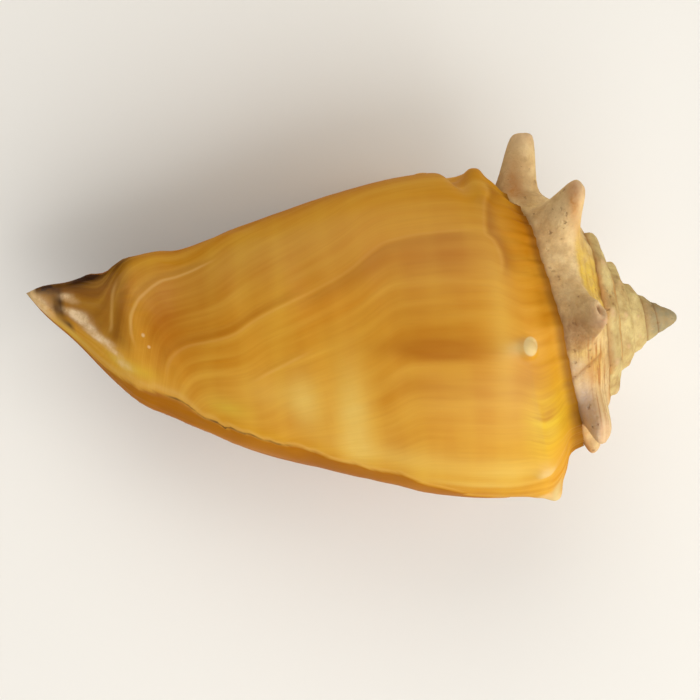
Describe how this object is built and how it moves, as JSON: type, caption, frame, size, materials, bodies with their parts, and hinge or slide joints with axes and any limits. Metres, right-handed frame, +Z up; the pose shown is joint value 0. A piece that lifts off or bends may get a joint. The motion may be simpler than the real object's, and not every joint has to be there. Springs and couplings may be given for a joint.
{
  "type": "west indian fighting conch shell",
  "caption": "Empty spiral sea shell with a stepped, spined spire, a large tapering last turn, a long aperture and a thick outer lip, lying on its aperture.",
  "frame": {"origin": "middle of the bounding box, at the surface that the shell lies on", "axes": "+X towards the apex, +Y towards the side of the outer lip, +Z up through the back of the shell"},
  "size_m": [0.0836, 0.048, 0.0438],
  "materials": {
    "shell": "glossy aragonite, amber over the last turn, cream to tan and matt on the spire and spines"
  },
  "bodies": {
    "root": {"shell": "shell"}
  },
  "joints": []
}
